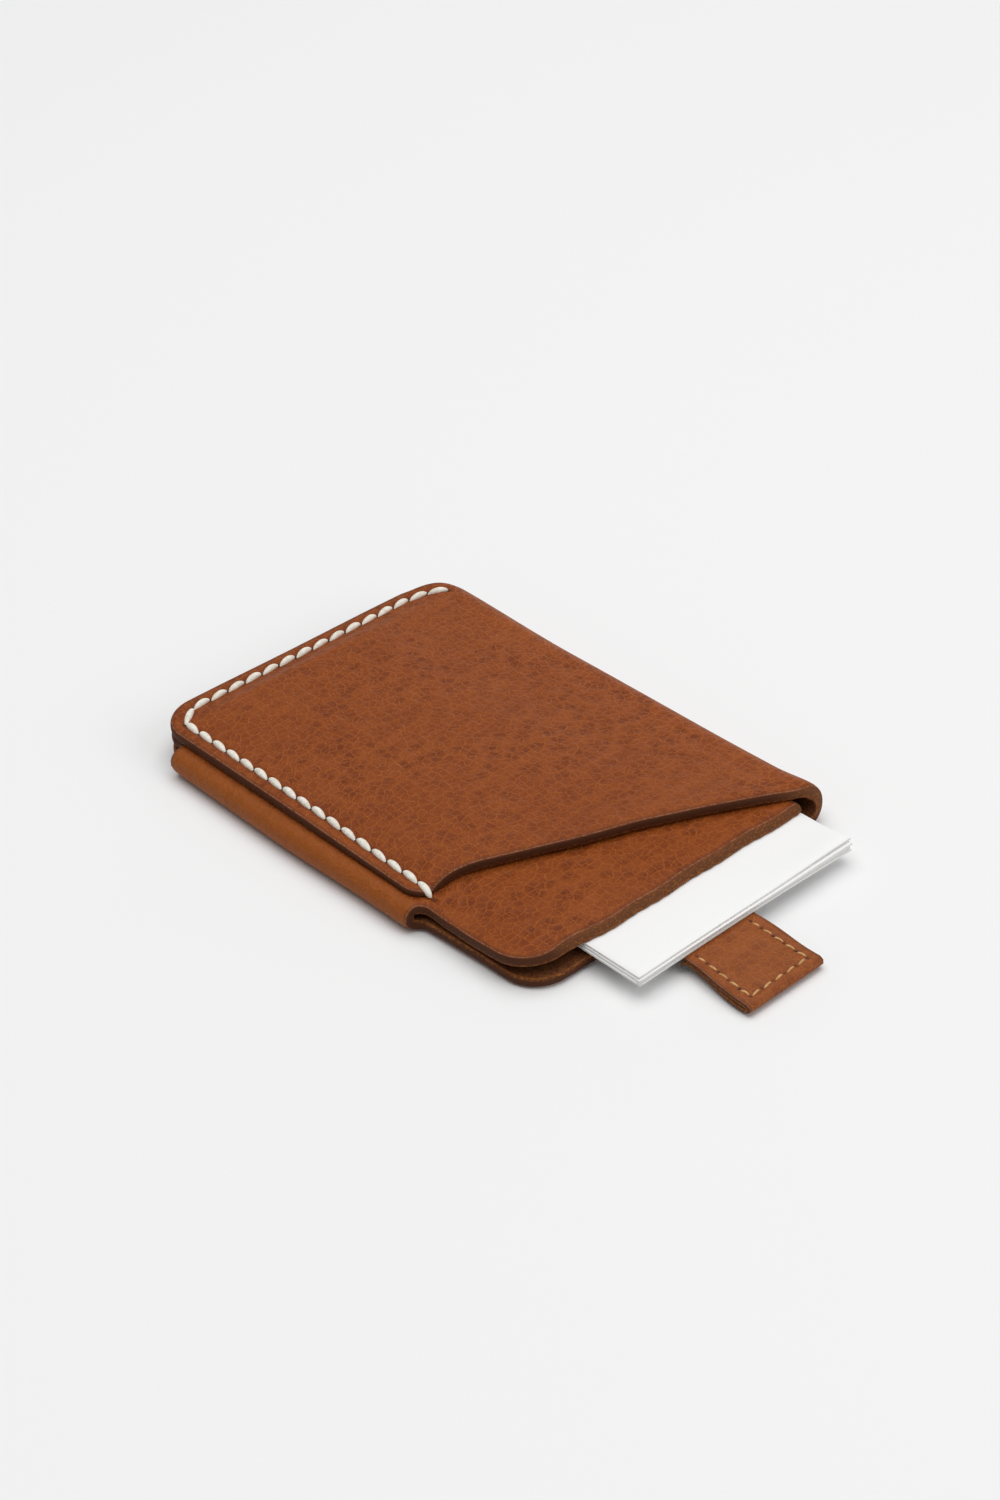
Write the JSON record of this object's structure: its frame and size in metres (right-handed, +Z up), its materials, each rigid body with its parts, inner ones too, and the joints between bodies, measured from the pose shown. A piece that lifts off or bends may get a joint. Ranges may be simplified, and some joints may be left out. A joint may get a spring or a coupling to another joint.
{
  "type": "card holder",
  "caption": "Folded leather card holder with an L-shaped hand-sewn seam, a diagonal front pocket, and a pull tab that draws a stack of blank cards out of its mouth.",
  "frame": {"origin": "centre of the back panel's underside, on the surface the holder lies on", "axes": "+Z up through the panels; -Y out of the pocket's mouth; +X towards the long right fold"},
  "size_m": [0.0735, 0.127, 0.0099],
  "materials": {
    "wrap_leather": "full-grain pull-up leather, pebbled, burnished edges",
    "strap_leather": "full-grain leather, skived where it runs in the pocket",
    "waxed_thread": "thick waxed linen thread",
    "fine_thread": "fine tan thread",
    "card_stock": "uncoated white card"
  },
  "bodies": {
    "holder": {"wrap_back_panel": "wrap_leather", "wrap_left_fold": "wrap_leather", "wrap_middle_panel": "wrap_leather", "wrap_right_fold": "wrap_leather", "wrap_front_panel": "wrap_leather", "seam_thread": "waxed_thread", "strap_anchor": "strap_leather", "anchor_thread": "fine_thread"},
    "tab": {"pull_tab": "strap_leather", "tab_thread": "fine_thread", "strap_lower_run": "strap_leather"},
    "loop": {"strap_loop": "strap_leather", "strap_upper_run": "strap_leather"},
    "card_a": {"card_1": "card_stock"},
    "card_b": {"card_2": "card_stock"},
    "card_c": {"card_3": "card_stock"},
    "card_d": {"card_4": "card_stock"}
  },
  "joints": [
    {"name": "loop_slide", "type": "slide", "parent": "holder", "child": "loop", "axis": [0, -1, 0], "range_m": [-0.00525, 0.02], "deforming": ["strap_upper_run"]},
    {"name": "tab_slide", "type": "slide", "parent": "loop", "child": "tab", "axis": [0, -1, 0], "range_m": [-0.00525, 0.02], "deforming": ["strap_lower_run"]},
    {"name": "card_1_slide", "type": "slide", "parent": "loop", "child": "card_a", "axis": [0, -1, 0], "range_m": [-0.0055, 0.04]},
    {"name": "card_2_slide", "type": "slide", "parent": "loop", "child": "card_b", "axis": [0, -1, 0], "range_m": [-0.0055, 0.04]},
    {"name": "card_3_slide", "type": "slide", "parent": "loop", "child": "card_c", "axis": [0, -1, 0], "range_m": [-0.0055, 0.04]},
    {"name": "card_4_slide", "type": "slide", "parent": "loop", "child": "card_d", "axis": [0, -1, 0], "range_m": [-0.0055, 0.04]}
  ],
  "couplings": [
    {"joint": "tab_slide", "follows": "loop_slide", "ratio": 1}
  ]
}
